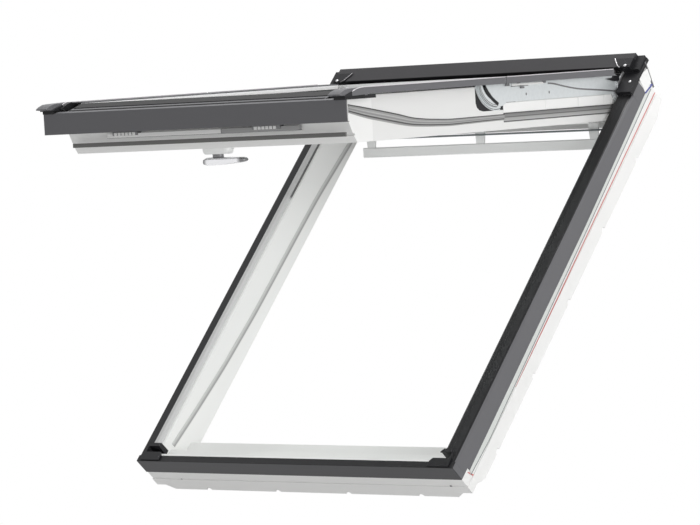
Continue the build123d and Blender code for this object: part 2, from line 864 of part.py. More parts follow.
for word, side in sides.items():
    save("frame_stile_" + word, stile(side))
    save("lower_stile_cover_" + word, lower_stile_cover(side))
    save("upper_stile_cover_" + word, upper_stile_cover(side))
    save("head_block_" + word, head_block(side))
    save("corner_block_" + word, corner_block(side))
    save("weather_seal_" + word, weather_seal(side))
    save("frame_gasket_" + word, frame_gasket(side))
    save("striker_plate_" + word, striker_plate(side))
    save("hinge_bracket_" + word, hinge_bracket(side))
    save("hinge_pin_" + word, hinge_pin(side))
    save("bracket_screws_" + word, bracket_screws(side))
    save("arm_" + word, arm(side), sash_place)
    save("arm_cover_" + word, arm_cover(side), sash_place)
    save("sash_stile_" + word, sash_stile(side), sash_place)
    save("sash_side_cover_" + word, sash_side_cover(side), sash_place)
    save("corner_cap_" + word, corner_cap(side), sash_place)
    save("pivot_guide_" + word, pivot_guide(side), sash_place)
    save("sash_gasket_" + word, sash_gasket(side), sash_place)

save("frame_bottom_rail", frame_bottom_rail())
save("frame_top_rail", frame_top_rail())
save("bottom_rail_cover", bottom_rail_cover())
save("hood", hood())
save("cross_cover", cross_cover(), sash_place)
save("sash_bottom_rail", sash_bottom_rail(), sash_place)
save("sash_top_rail", sash_top_rail(), sash_place)
save("outer_pane", outer_pane(), sash_place)
save("inner_pane", inner_pane(), sash_place)
save("glass_spacer", glass_spacer(), sash_place)
save("outer_glazing_seal", outer_glazing_seal(), sash_place)
save("sash_bottom_cover", sash_bottom_cover(), sash_place)
save("sash_top_cover", sash_top_cover(), sash_place)
save("rail_gasket", rail_gasket(), sash_place)
save("lock_rail", lock_rail(), sash_place)
save("lock_fitting_left", lock_fitting(lock_left, lock_left + lock_length), sash_place)
save("lock_fitting_right", lock_fitting(lock_right, lock_right + lock_length), sash_place)
save("handle_base", handle_base(), sash_place)
save("handle_lever", handle_lever(), sash_place)
save("vent_flap", vent_flap(), sash_place)
save("vent_bar", vent_bar(), sash_place)
for word, index in (("left", -1), ("middle", 0), ("right", 1)):
    save("bar_bracket_" + word, bar_bracket(index), sash_place)
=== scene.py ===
import json
import math
import bmesh
import bpy
import numpy as np
from mathutils import Matrix, Vector


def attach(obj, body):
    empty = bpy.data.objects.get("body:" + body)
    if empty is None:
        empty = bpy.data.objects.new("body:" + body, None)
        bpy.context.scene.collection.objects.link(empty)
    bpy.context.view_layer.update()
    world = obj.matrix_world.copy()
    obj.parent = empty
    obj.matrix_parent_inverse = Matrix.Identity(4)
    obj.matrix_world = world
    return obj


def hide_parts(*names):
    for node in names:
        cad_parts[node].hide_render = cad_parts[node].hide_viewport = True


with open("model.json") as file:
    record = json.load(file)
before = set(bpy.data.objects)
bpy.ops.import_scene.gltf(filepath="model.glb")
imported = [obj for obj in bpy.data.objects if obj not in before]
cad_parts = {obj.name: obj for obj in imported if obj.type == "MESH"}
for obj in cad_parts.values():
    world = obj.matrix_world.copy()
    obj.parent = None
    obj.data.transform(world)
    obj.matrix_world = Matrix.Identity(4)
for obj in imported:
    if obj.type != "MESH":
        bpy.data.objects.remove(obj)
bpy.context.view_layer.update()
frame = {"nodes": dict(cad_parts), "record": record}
nodes = frame["nodes"]
mm = 0.001
sides = {"Left": -1, "Right": 1}

# Where things are, in millimetres: frame lengths up the slope, and the sash's own frame
place = {
    "frameLength": 980.0,
    "frameDepth": 89.0,
    "hingeAlong": 887.0,
    "hingeBelow": 51.0,
    "openAngle": 46.5,
    "sashAlong": 25.0,
    "sashAbove": 20.0,
}

camera = {
    "location": (5.16882, -4.00348, 4.91102),
    "right": (0.7649353, 0.3980725, -0.5063717),
    "down": (-0.013002, -0.7764576, -0.6300353),
    "forward": (-0.6439759, 0.4885201, -0.5887641),
    "lens": 216.99,
}

light = {
    "level": 0.76,
    "fromRight": 0.05,
    "zenith": 0.55,
    "floor": (0.9, 0.9, 0.9, 1.0),
    "floorHalf": 14.0,
}

# Area lights: where each stands, what it looks at, its width and height in metres, and its watts
lamps = {
    "key": ((5.0, -1.4, 2.0), (0.0, 0.0, 0.2), (4.0, 2.0), 105.0),
    "back": ((0.0, 3.6, 2.2), (0.0, -0.4, 0.1), (3.0, 2.0), 170.0),
}

roughSpread = 0.1  # how far the grain moves the roughness
grainDepth = 0.0004  # metres of bump in a finish

look = {
    "frameWhite": {"color": (0.85, 0.85, 0.84), "rough": 0.42},
    "sashWhite": {"color": (0.86, 0.86, 0.85), "rough": 0.35},
    "darkSheet": {"color": (0.14, 0.14, 0.148), "rough": 0.42, "gloss": 0.2},
    # painted shade: a darker copy of the dark sheet, for the hood's upward face
    "hoodShadedSheet": {"color": (0.045, 0.044, 0.047), "rough": 0.38, "gloss": 0.2},
    "barMid": {"color": (0.3, 0.3, 0.3), "rough": 0.4},
    # painted shade: a darker copy of the dark sheet, for the cover skirt, the sash top cover and the cross
    # cover
    "shadedSheet": {"color": (0.06, 0.06, 0.064), "rough": 0.42, "gloss": 0.2},
    "stileWhite": {"color": (0.78, 0.78, 0.77), "rough": 0.35},
    # painted shade: the colour of the covers' top faces and the hood's front flange
    "topShade": {"color": (0.02, 0.02, 0.0215), "rough": 0.42, "gloss": 0.2},
    "blackPlastic": {"color": (0.018, 0.018, 0.02), "rough": 0.35, "gloss": 0.2},
    "blackRubber": {"color": (0.02, 0.02, 0.021), "rough": 0.6, "gloss": 0.2},
    "greyRubber": {"color": (0.62, 0.62, 0.62), "rough": 0.6},
    "railRubber": {"color": (0.14, 0.14, 0.135), "rough": 0.6},
    "steel": {"color": (0.62, 0.62, 0.63), "rough": 0.35},
    "galvanised": {"color": (0.66, 0.69, 0.7), "rough": 0.38},
    "handleMetal": {"color": (0.84, 0.84, 0.86), "rough": 0.25},
    "handleBase": {"color": (0.86, 0.87, 0.86), "rough": 0.35},
    "barMetal": {"color": (0.94, 0.945, 0.94), "rough": 0.4},
    "barDark": {"color": (0.2, 0.2, 0.205), "rough": 0.4},
    "paneBorder": {"color": (0.012, 0.012, 0.013), "rough": 0.06},
    "beadWhite": {"color": (0.94, 0.94, 0.94), "rough": 0.3},
    # painted highlight: the light colour of lines laid along edges that catch the light
    "edgeLight": {"color": (0.62, 0.6, 0.62), "rough": 0.3},
    "redLine": {"color": (0.62, 0.2, 0.19), "rough": 0.5},
    "blueLine": {"color": (0.07, 0.08, 0.3), "rough": 0.5},
    "paleStrip": {"color": (0.66, 0.68, 0.66), "rough": 0.5},
    "armLine": {"color": (0.16, 0.18, 0.185), "rough": 0.5},
}


# A shader value: sums and products of these become Math nodes
class Value:
    def __init__(self, tree, socket):
        self.tree = tree
        self.socket = socket

    def math(self, operation, *others):
        node = self.tree.nodes.new("ShaderNodeMath")
        node.operation = operation
        for index, item in enumerate((self,) + others):
            if isinstance(item, Value):
                self.tree.links.new(item.socket, node.inputs[index])
            else:
                node.inputs[index].default_value = item
        return Value(self.tree, node.outputs[0])

    def fixed(self, number):
        node = self.tree.nodes.new("ShaderNodeValue")
        node.outputs[0].default_value = number
        return Value(self.tree, node.outputs[0])

    def __add__(self, other):
        return self.math("ADD", other)

    def __radd__(self, other):
        return self.fixed(other).math("ADD", self)

    def __sub__(self, other):
        return self.math("SUBTRACT", other)

    def __rsub__(self, other):
        return self.fixed(other).math("SUBTRACT", self)

    def __mul__(self, other):
        return self.math("MULTIPLY", other)

    def __rmul__(self, other):
        return self.fixed(other).math("MULTIPLY", self)

    def __gt__(self, other):
        return self.math("GREATER_THAN", other)

    def __lt__(self, other):
        return self.math("LESS_THAN", other)

    def clamp(self):
        return self.math("MAXIMUM", 0.0).math("MINIMUM", 1.0)


# Nodes of one material by name, with their inputs linked or set
class Graph:
    def __init__(self, tree):
        self.tree = tree
        tree.nodes.clear()

    def add(self, kind, settings=None, **inputs):
        node = self.tree.nodes.new(kind)
        for name, value in (settings or {}).items():
            setattr(node, name, value)
        for name, value in inputs.items():
            self.join(node, name.replace("_", " "), value)
        return node

    def join(self, node, name, value):
        socket = node.inputs[int(name)] if name.isdigit() else node.inputs[name]
        if isinstance(value, Value):
            self.tree.links.new(value.socket, socket)
        elif isinstance(value, bpy.types.NodeSocket):
            self.tree.links.new(value, socket)
        else:
            socket.default_value = value

    def value(self, socket):
        return Value(self.tree, socket)

    def coords(self):
        node = self.add("ShaderNodeTexCoord")
        split = self.add("ShaderNodeSeparateXYZ", Vector=node.outputs["Object"])
        return node.outputs["Object"], [self.value(split.outputs[i]) for i in range(3)]

    def noise(self, vector, scale, detail=3.0):
        node = self.add("ShaderNodeTexNoise", Vector=vector, Scale=scale, Detail=detail)
        return self.value(node.outputs["Fac"])

    def blend(self, factor, first, second):
        node = self.add("ShaderNodeMix", {"data_type": "RGBA"})
        self.join(node, "0", factor)
        for index, color in ((6, first), (7, second)):
            if isinstance(color, bpy.types.NodeSocket):
                self.tree.links.new(color, node.inputs[index])
            else:
                node.inputs[index].default_value = (*color, 1.0)
        return node.outputs[2]

    def bump(self, height, strength, distance):
        node = self.add("ShaderNodeBump", Height=height, Strength=strength, Distance=distance)
        return node.outputs["Normal"]

    def finish(self, shader):
        out = self.add("ShaderNodeOutputMaterial")
        self.tree.links.new(shader, out.inputs["Surface"])


# A material by name, with an empty graph to fill
def newMaterial(name):
    material = bpy.data.materials.new(name)
    material.use_nodes = True
    return material, Graph(material.node_tree)


# A colour times a factor, held at one
def shade(color, factor):
    return tuple(min(1.0, c * factor) for c in color)


# Fine grain in colour and roughness, with a light bump; paint(graph, xyz, base) may repaint parts
def plainMaterial(name, metallic=0.0, grain=0.04, bump=0.05, scale=500.0, paint=None):
    item = look[name]
    material, graph = newMaterial(name)
    vector, xyz = graph.coords()
    noise = graph.noise(vector, scale)
    base = graph.blend(noise, shade(item["color"], 1 - grain), shade(item["color"], 1 + grain))
    if paint:
        base = paint(graph, xyz, base)
    gloss = item.get("gloss", 0.5)
    shader = graph.add("ShaderNodeBsdfPrincipled", Metallic=metallic, Specular_IOR_Level=gloss)
    graph.join(shader, "Base Color", base)
    graph.join(shader, "Roughness", (noise - 0.5) * roughSpread + item["rough"])
    graph.join(shader, "Normal", graph.bump(noise, bump, grainDepth))
    graph.finish(shader.outputs[0])
    return material


# Glass mixes clear and mirror by Schlick's rule: 0.04 + 0.96 * facing ** 5
def glassMaterial():
    material, graph = newMaterial("glass")
    facing = graph.value(graph.add("ShaderNodeLayerWeight", Blend=0.5).outputs["Facing"])
    factor = facing.math("POWER", 5.0) * 0.96 + 0.04
    clear = graph.add("ShaderNodeBsdfTransparent", Color=(0.97, 0.98, 0.975, 1.0))
    shiny = graph.add("ShaderNodeBsdfGlossy", Color=(1.0, 1.0, 1.0, 1.0), Roughness=0.02)
    mix = graph.add("ShaderNodeMixShader")
    graph.join(mix, "0", factor)
    graph.tree.links.new(clear.outputs[0], mix.inputs[1])
    graph.tree.links.new(shiny.outputs[0], mix.inputs[2])
    graph.finish(mix.outputs[0])
    return material


# Painted reflection: the left weather seal is painted pale at the foot for the light it reflects, and dark
# from 170 mm past the middle, with a lighter outer strip
def paintSealReflection(graph, xyz, base):
    stripe = (xyz[0] > -0.3545) * 0.75 + 0.1
    dark = graph.blend(stripe, look["greyRubber"]["color"], look["blackRubber"]["color"])
    return graph.blend((xyz[1] * 120.0 - 20.0).clamp(), base, dark)


# Painted shade: the top faces of the frame's covers and the skirt at the foot are painted darker than their
# side flanges, standing in for the shade on them
def paintCoverShade(graph, xyz, base):
    top = xyz[2] > (place["frameDepth"] - 1.3) * mm
    foot = xyz[1] < (1.3 - place["frameLength"] / 2) * mm
    shadedSkirt = graph.blend(foot, base, look["shadedSheet"]["color"])
    return graph.blend(top, shadedSkirt, look["topShade"]["color"])


# Painted shade: the hood's front flange is painted nearly black with the top-shade colour
def paintHoodShade(graph, xyz, base):
    front = xyz[1] < (place["frameLength"] / 2 - 33.6) * mm
    return graph.blend(front, base, look["topShade"]["color"])


# Ends of the lever darken over some 9 mm, from 34 mm left and 38 mm right of the middle line
def paintLever(graph, xyz, base):
    left = ((-0.034 - xyz[0]) * 120.0).clamp()
    right = ((xyz[0] - 0.038) * 110.0).clamp()
    return graph.blend((left + right).clamp(), base, look["barDark"]["color"])


# Ribs of the sash gasket: the piece's "across" attribute runs from its upper edge to its lower edge
def gasketMaterial(name, stops):
    material, graph = newMaterial(name)
    vector = graph.coords()[0]
    ribPlace = graph.add("ShaderNodeAttribute", {"attribute_name": "across"}).outputs["Fac"]
    ramp = graph.add("ShaderNodeValToRGB", Fac=ribPlace)
    stopsOf = ramp.color_ramp.elements
    for index, (at, grey) in enumerate(stops):
        element = stopsOf[index] if index < 2 else stopsOf.new(at)
        element.position = at
        element.color = (grey, grey, grey * 0.99, 1.0)
    noise = graph.noise(vector, 700.0)
    shader = graph.add("ShaderNodeBsdfPrincipled")
    graph.join(shader, "Base Color", ramp.outputs["Color"])
    graph.join(shader, "Roughness", noise * roughSpread + 0.5)
    graph.finish(shader.outputs[0])
    return material


frontRibs = [(0.0, 0.05), (1.0, 0.36), (0.1, 0.05), (0.14, 0.3), (0.3, 0.34), (0.34, 0.52), (0.42, 0.3),
             (0.56, 0.25), (0.6, 0.42), (0.68, 0.34), (0.72, 0.06), (0.8, 0.06), (0.86, 0.3)]
rearRibs = [(0.0, 0.05), (1.0, 0.4), (0.08, 0.05), (0.13, 0.2), (0.38, 0.24), (0.42, 0.12), (0.48, 0.12),
            (0.54, 0.36), (0.84, 0.42), (0.88, 0.08), (0.95, 0.08)]
# painted shade: a grey gasket ramp that darkens softly to a dark line where the step's shade falls
softRibs = [(0.0, 0.62), (1.0, 0.75), (0.3, 0.55), (0.75, 0.3), (0.8, 0.34), (0.86, 0.7)]

materials = {
    "frameWhite": plainMaterial("frameWhite", bump=0.12, scale=900.0, grain=0.02),
    "sashWhite": plainMaterial("sashWhite", scale=500.0, grain=0.015),
    "darkSheet": plainMaterial("darkSheet", bump=0.04, scale=1200.0),
    "blackPlastic": plainMaterial("blackPlastic"),
    "blackRubber": plainMaterial("blackRubber"),
    "greyRubber": plainMaterial("greyRubber"),
    "hoodShadedSheet": plainMaterial("hoodShadedSheet", bump=0.04, scale=1200.0, paint=paintHoodShade),
    # painted shade: the sash top cover and the cross cover take the darker shaded copy of the dark sheet
    "crossShadedSheet": plainMaterial("shadedSheet", bump=0.04, scale=1200.0),
    "stileWhite": plainMaterial("stileWhite", grain=0.015),
    # the frame's covers, with painted shade on their top faces and foot skirt
    "coverSheetShaded": plainMaterial("darkSheet", bump=0.04, scale=1200.0, paint=paintCoverShade),
    "railRubber": plainMaterial("railRubber"),
    # the left seal's pale foot is a painted reflection
    "sealPaleReflection": plainMaterial("greyRubber", paint=paintSealReflection),
    "steel": plainMaterial("steel", metallic=0.7),
    "galvanised": plainMaterial("galvanised", metallic=0.35, grain=0.08, scale=160.0),
    "handleMetal": plainMaterial("handleMetal", metallic=0.9, grain=0.01, bump=0.0, paint=paintLever),
    "handleBase": plainMaterial("handleBase", metallic=0.1, grain=0.01, bump=0.0),
    "barMetal": plainMaterial("barMetal", metallic=0.1),
    "barMid": plainMaterial("barMid", metallic=0.3),
    "barDark": plainMaterial("barDark", metallic=0.5),
    # painted light: the beads stand in for the bright lit and reflected band along the pane
    "beadWhite": plainMaterial("beadWhite", grain=0.01),
    "paneBorder": plainMaterial("paneBorder", bump=0.0),
    "edgeLight": plainMaterial("edgeLight", metallic=0.3),
    "redLine": plainMaterial("redLine"),
    "blueLine": plainMaterial("blueLine"),
    "paleStrip": plainMaterial("paleStrip"),
    "armLine": plainMaterial("armLine"),
    "frontRibs": gasketMaterial("frontRibs", frontRibs),
    "rearRibs": gasketMaterial("rearRibs", rearRibs),
    "softRibs": gasketMaterial("softRibs", softRibs),
    "glass": glassMaterial(),
}

slotMaterial = {
    "frame_white": "frameWhite", "sash_white": "sashWhite", "dark_sheet": "darkSheet",
    "black_plastic": "blackPlastic", "black_rubber": "blackRubber", "grey_rubber": "greyRubber",
    "steel": "steel", "handle_metal": "handleMetal", "bar_metal": "barMetal", "glass": "glass",
}
nodeMaterial = {
    "striker_plate_left": "sashWhite", "striker_plate_right": "sashWhite",
    "sash_stile_left": "stileWhite", "sash_stile_right": "stileWhite", "hood": "hoodShadedSheet",
    "sash_top_cover": "crossShadedSheet", "cross_cover": "crossShadedSheet",
    "lower_stile_cover_left": "coverSheetShaded", "lower_stile_cover_right": "coverSheetShaded",
    "bottom_rail_cover": "coverSheetShaded", "upper_stile_cover_left": "coverSheetShaded",
    "upper_stile_cover_right": "coverSheetShaded", "arm_left": "galvanised", "arm_right": "galvanised",
    "weather_seal_left": "sealPaleReflection",
    "lock_fitting_left": "galvanised", "lock_fitting_right": "galvanised", "lock_rail": "galvanised",
}
slotOf = {item["node"]: item["material_slot"] for item in frame["record"]["subparts"]}
for name, obj in nodes.items():
    obj.data.materials.clear()
    obj.data.materials.append(materials[nodeMaterial.get(name, slotMaterial[slotOf[name]])])
print("materials done")


# A round on the edges that turn more than an angle in degrees; the width is in millimetres
def addRound(obj, width, segments, angle):
    bevel = obj.modifiers.new("round", "BEVEL")
    bevel.width = width * mm
    bevel.segments = segments
    bevel.limit_method = "ANGLE"
    bevel.angle_limit = math.radians(angle)
    bevel.harden_normals = True


# Small rounds on the edges of the sheets and mouldings; the node's own mesh stays as it is
def roundNodes(width, words):
    for name, obj in nodes.items():
        if any(word in name for word in words) and name != "sash_bottom_cover":
            weld = obj.modifiers.new("weld", "WELD")
            weld.merge_threshold = 0.00001
            addRound(obj, width, 2, 40)


roundNodes(0.5, ("cover", "hood", "head_block", "frame_stile", "rail", "sash_stile", "corner_block",
                 "vent_bar"))


# Points of the frame from millimetres: across, up the slope, above the stile covers
def atFrame(x, along, above):
    x, along, above = np.broadcast_arrays(x, along, above)
    return np.stack([x, along - place["frameLength"] / 2, above + place["frameDepth"]], -1) * mm


# Points of the sash in its open rest place: turned by the open angle about the top hinge
def atSash(x, along, above):
    angle = math.radians(place["openAngle"])
    up = np.asarray(along, float) + place["sashAlong"] - place["hingeAlong"]
    out = np.asarray(above, float) + place["sashAbove"] + place["hingeBelow"]
    return atFrame(x, place["hingeAlong"] + up * math.cos(angle) + out * math.sin(angle),
                   out * math.cos(angle) - up * math.sin(angle) - place["hingeBelow"])


# Two distances from the middle line, on one side of the window, in rising order
def across(side, first, second):
    return sorted((side * first, side * second))


# Unit rays round a circle, from start to stop in degrees
def rays(start, stop, count):
    turn = np.radians(np.linspace(start, stop, count))
    return np.stack([np.cos(turn), np.sin(turn)], -1)


# Evenly spaced angles of a closed loop
def loopTurn(count):
    return np.linspace(0, 2 * np.pi, count + 1)[:-1]


# Quads between neighbouring rows of a grid whose rows are closed loops
def loopFaces(rows, cols):
    i = np.arange(rows - 1)[:, None] * cols
    j = np.arange(cols)[None, :]
    k = (j + 1) % cols
    return np.stack([i + j, i + k, i + cols + k, i + cols + j], -1).reshape(-1, 4)


# One piece from points in metres and faces: normals out, smooth below the angle, on its body
def addPiece(name, points, faces, finish, body, slot, bevel=0.0, ribPlace=None, angle=35):
    mesh = bpy.data.meshes.new(name)
    mesh.from_pydata(np.asarray(points).reshape(-1, 3).tolist(), [], faces)
    whole = bmesh.new()
    whole.from_mesh(mesh)
    bmesh.ops.recalc_face_normals(whole, faces=whole.faces)
    whole.to_mesh(mesh)
    whole.free()
    if ribPlace is not None:
        mesh.attributes.new("across", "FLOAT", "POINT").data.foreach_set("value", ribPlace.ravel())
    mesh.materials.append(materials[finish])
    mesh.shade_smooth()
    mesh.set_sharp_from_angle(angle=math.radians(angle))
    obj = bpy.data.objects.new(name, mesh)
    bpy.context.scene.collection.objects.link(obj)
    if bevel:
        addRound(obj, bevel, 3, 30)
    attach(obj, body)
    return obj


# A closed section carried along stations: rings is rows x columns x 3
def addRings(name, rings, *finish, **more):
    rows, cols = rings.shape[:2]
    ends = [list(range(cols))[::-1], list(range((rows - 1) * cols, rows * cols))]
    return addPiece(name, rings, loopFaces(rows, cols).tolist() + ends, *finish, **more)


# An outline with depth: axis is the direction it is carried in, put places the points
def addPrism(name, outline, low, high, axis, put, *finish, **more):
    a, b = np.array(outline, float).T
    c = np.array([[low], [high]], float)
    order = {"x": (c, a, b), "y": (a, c, b), "z": (a, b, c)}[axis]
    return addRings(name, put(*order), *finish, **more)


# Several boxes as one piece: each box is (x0, x1, y0, y1, z0, z1)
def addBoxes(name, boxes, put, *finish, **more):
    box = np.array(boxes, float).reshape(-1, 3, 2)
    pick = np.array([[0, 0, 0], [1, 0, 0], [1, 1, 0], [0, 1, 0],
                     [0, 0, 1], [1, 0, 1], [1, 1, 1], [0, 1, 1]])
    corner = np.stack([box[:, k, :][:, pick[:, k]] for k in range(3)], -1)
    quads = np.array([[0, 3, 2, 1], [4, 5, 6, 7], [0, 1, 5, 4], [1, 2, 6, 5], [2, 3, 7, 6], [3, 0, 4, 7]])
    faces = (quads[None] + 8 * np.arange(len(box))[:, None, None]).reshape(-1, 4)
    points = put(corner[..., 0], corner[..., 1], corner[..., 2])
    return addPiece(name, points, faces.tolist(), *finish, **more)


# A line through points, evenly spaced in count stations and smoothed by a running mean over some of them
def smoothLine(points, count=120, mean=9):
    points = np.array(points, float)
    reach = np.r_[0, np.cumsum(np.hypot(*np.diff(points, axis=0).T))]
    t = np.linspace(0, reach[-1], count)
    line = np.stack([np.interp(t, reach, points[:, k]) for k in range(2)], -1)
    pad = mean // 2
    ends = [2 * line[:1] - line[pad:0:-1], line, 2 * line[-1:] - line[-2:-pad - 2:-1]]
    wide = np.concatenate(ends)
    return np.stack([np.convolve(wide[:, k], np.ones(mean) / mean, "valid") for k in range(2)], -1)


# A band between two lines in the side plane: v runs from upper to lower, and its face bulges out by ribs(v)
def addBand(name, upper, lower, back, face, side, put, *finish, ribs=None, steps=2, **more):
    v = np.linspace(0, 1, steps)
    lift = ribs(v) if ribs else 0 * v
    line = upper[:, None, :] * (1 - v[:, None]) + lower[:, None, :] * v[:, None]
    x = np.broadcast_to((face + lift)[None, :], line.shape[:2])
    rear = np.full((len(upper), 1), back)
    x = np.concatenate([rear, x, rear], 1) * side
    line = np.concatenate([upper[:, None], line, lower[:, None]], 1)
    ribPlace = np.broadcast_to(np.r_[0, v, 1][None, :], x.shape).astype(np.float32)
    return addRings(name, put(x, line[..., 0], line[..., 1]), *finish, ribPlace=ribPlace, **more)


# Unit normals of a line in its plane: its gradient turned a quarter to the left
def lineNormals(line):
    step = np.gradient(line, axis=0)
    return np.stack([-step[:, 1], step[:, 0]], -1) / np.hypot(*step.T)[:, None]


# A line moved sideways by an amount along its normals
def offsetLine(line, amount):
    return line + lineNormals(line) * amount


# Sash gasket: a ribbed strip that dips under the guide, then runs straight to the hinge
gasket = {
    "upper": [(37, -9.8), (81, -16.7), (180, -34.5), (213, -42), (256, -46.8), (323, -50.6), (405, -50.3),
              (487, -50)],
    "lower": [(38, -25.5), (85, -37.4), (179, -54), (211, -58.6), (255, -61.3), (322, -63.7), (404, -62.2),
              (487, -61)],
    "rear": (484, 832),
    "rearUpper": -47.9,
    "rearLower": -65.4,
    "back": 343.9,
    "face": 344.7,
    "rib": 0.45,
}


def addGaskets():
    def ribs(v):
        return gasket["rib"] * np.sin(v * 6 * np.pi) ** 2

    upper = smoothLine(gasket["upper"])
    lower = smoothLine(gasket["lower"])
    start, stop = gasket["rear"]
    straight = np.linspace(start, stop, 30)
    rearUpper = np.stack([straight, np.full(30, gasket["rearUpper"])], -1)
    rearLower = np.stack([straight, np.full(30, gasket["rearLower"])], -1)
    for word, side in sides.items():
        front = addBand("sashGasketFront" + word, upper, lower, gasket["back"], gasket["face"], side,
                        atSash, "frontRibs", "sash", "black_rubber", ribs=ribs, steps=25)
        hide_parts("sash_gasket_" + word.lower())
        addBand("sashGasketRear" + word, rearUpper, rearLower, gasket["back"], gasket["face"], side,
                atSash, "rearRibs", "sash", "black_rubber", ribs=ribs, steps=25)


# White stepped strip beside the arm, in three lengths
strip = {
    "lengths": ((484, 612, 344.8), (612.6, 714, 345.0), (718, 797, 344.8), (800, 822, 345.0)),
    "back": 343.5,
    "low": -46.8,
    "high": -29.0,
    "filler": (336.0, 343.9, 89.5, 103.5, -32.0, 4.0),
}


def addStrips():
    for word, side in sides.items():
        boxes = [(*across(side, strip["back"], x), a, b, strip["low"], strip["high"])
                 for a, b, x in strip["lengths"]]
        addBoxes("guideStrip" + word, boxes, atSash, "sashWhite", "sash", "sash_white", bevel=0.5)
        a, b, y0, y1, z0, z1 = strip["filler"]
        addBoxes("stileFoot" + word, [(*across(side, a, b), y0, y1, z0, z1)], atSash, "sashWhite", "sash",
                 "sash_white")


# Pale arcs and the rim of the curved guide, round the pivot
guide = {
    "center": (463.0, 20.0),
    "arcs": ((49.6, 51.0, 184, 266), (52.6, 54.6, 186, 268),
             (56.2, 59.4, 190, 282), (60.6, 62.2, 194, 280)),
    "back": 343.6,
    "face": 345.1,
}


def addGuideArcs():
    middle = np.array(guide["center"])
    for word, side in sides.items():
        for index, (inner, outer, start, stop) in enumerate(guide["arcs"]):
            ray = rays(start, stop, 40)
            addBand("guideArc%d%s" % (index + 1, word), middle + ray * outer, middle + ray * inner,
                    guide["back"], guide["face"], side, atSash, "galvanised", "sash", "black_plastic")


# Arm details: the dark fold line, painted shade along the arm's fold, the bright lip under the cover, and
# the rivets
arm = {
    "face": 348.4,
    "fold": [(619, 1.2), (635, 0.3), (656, -4.1), (687, -9.8), (718, -14.1), (750, -16.5), (782, -18.9),
             (814, -21.7), (840, -23.8)],
    "foldWidth": 3.0,
    "lips": ((507, 604, 0.9, 5.0),),
    "shades": ((488, 498, 1.5, 8.0), (525, 531, 5.2, 8.6), (601, 610, 2.6, 7.0), (506, 555, -0.4, 0.9),
               (533, 543, -4.6, -1.2)),
    "notch": [(453, 2.4), (466.5, 2.2), (458.2, -7.2)],
    "wedge": [(800, 1.4), (821, 2.8), (824, 6.5), (841, 6.7), (841, -3.9), (825, -4.1)],
    "rivets": ((551.0, -15.8, 1.7), (621.7, -15.7, 1.7)),
    "noseBack": [(430.7, 8.5), (470, 8.5), (470, -28.2)],
    "ringLines": ((52.6, 51.4), (55.9, 54.4)),
    "ringTurn": (194, 268),
    "shadow": (-0.4, -7.0),  # the dark band's two edges, measured from the rim
    "sink": 0.5,  # how far thin details start under the arm's face
    "deepSink": 1.0,
    "lift": {"fold": 0.35, "shadow": 0.3, "nose": 0.55, "ring": 0.35, "lips": 2.6, "shades": 3.0,
             "notch": 0.4, "cap": 3.6},
    "rivetSection": [(-0.4, 1.0), (0.5, 1.0), (0.9, 0.55)],  # above the face, share of the radius
    "rivetStretch": 1.5,
    "rimPath": [(430.7, 4.3), (435.9, -3.4), (446.9, -15.0), (458.1, -22.9), (466.7, -28.0)],
}


def addArms():
    fold = smoothLine(arm["fold"], 60, 7)
    rim = smoothLine(arm["rimPath"], 40, 7)
    face = arm["face"]
    middle = np.array(guide["center"])
    half = arm["foldWidth"] / 2
    lift = arm["lift"]
    back = face - arm["sink"]
    deepBack = face - arm["deepSink"]
    for word, side in sides.items():
        # painted shade: a dark band along the arm's fold
        addBand("armFoldShade" + word, offsetLine(fold, half), offsetLine(fold, -half), back, face + lift["fold"],
                side, atSash, "barDark", "arms", "steel")
        near, far = (offsetLine(rim, amount) for amount in arm["shadow"])
        addBand("armShadow" + word, near, far, back, face + lift["shadow"], side, atSash, "blackPlastic",
                "arms", "steel")
        x = across(side, back, face + lift["nose"])
        nose = rim[::-1].tolist() + arm["noseBack"]
        addPrism("armNose" + word, nose, *x, "x", atSash, "galvanised", "arms", "steel")
        ray = rays(*arm["ringTurn"], 40)
        for index, (outer, inner) in enumerate(arm["ringLines"]):
            addBand("armRing%d%s" % (index + 1, word), middle + ray * outer, middle + ray * inner,
                    back, face + lift["ring"], side, atSash, "barDark", "arms", "steel")
        x = across(side, deepBack, face + lift["lips"])
        addBoxes("armLips" + word, [(*x, *box) for box in arm["lips"]], atSash, "sashWhite", "arms",
                 "steel", bevel=0.4)
        x = across(side, deepBack, face + lift["shades"])
        addBoxes("armShades" + word, [(*x, *box) for box in arm["shades"]], atSash, "barDark", "arms",
                 "steel")
        x = across(side, deepBack, face + lift["notch"])
        addPrism("armNotch" + word, arm["notch"], *x, "x", atSash, "blackPlastic", "arms", "steel")
        x = across(side, face, face + lift["cap"])
        addPrism("hingeCap" + word, arm["wedge"], *x, "x", atSash, "blackPlastic", "arms", "steel",
                 bevel=0.5)
        turn = loopTurn(16)
        for index, (along, above, radius) in enumerate(arm["rivets"]):
            section = np.array(arm["rivetSection"]) + (face, 0.0)
            x = section[:, :1] * side + 0 * turn
            y = along + radius * section[:, 1:] * np.cos(turn)
            z = above + arm["rivetStretch"] * radius * section[:, 1:] * np.sin(turn)
            addRings("armRivet%d%s" % (index + 1, word), atSash(x, y, z), "barDark", "arms", "steel")


# Painted highlight: a light bead along the top of the sash's side covers, dipping at the front end, stands
# in for the light caught on their top edge
edge = {
    "line": [(15.4, 12.9), (21.2, 16.4), (32.6, 18.9), (53, 19.4), (80, 19.3), (461, 19.2)],
    "upper": ((466, 19.2), (797, 19.2)),
    "radius": 0.75,
    "across": 371.6,
    "lift": 2.4,
    "liftStart": 54.0,
    "liftRun": 4.0,
}


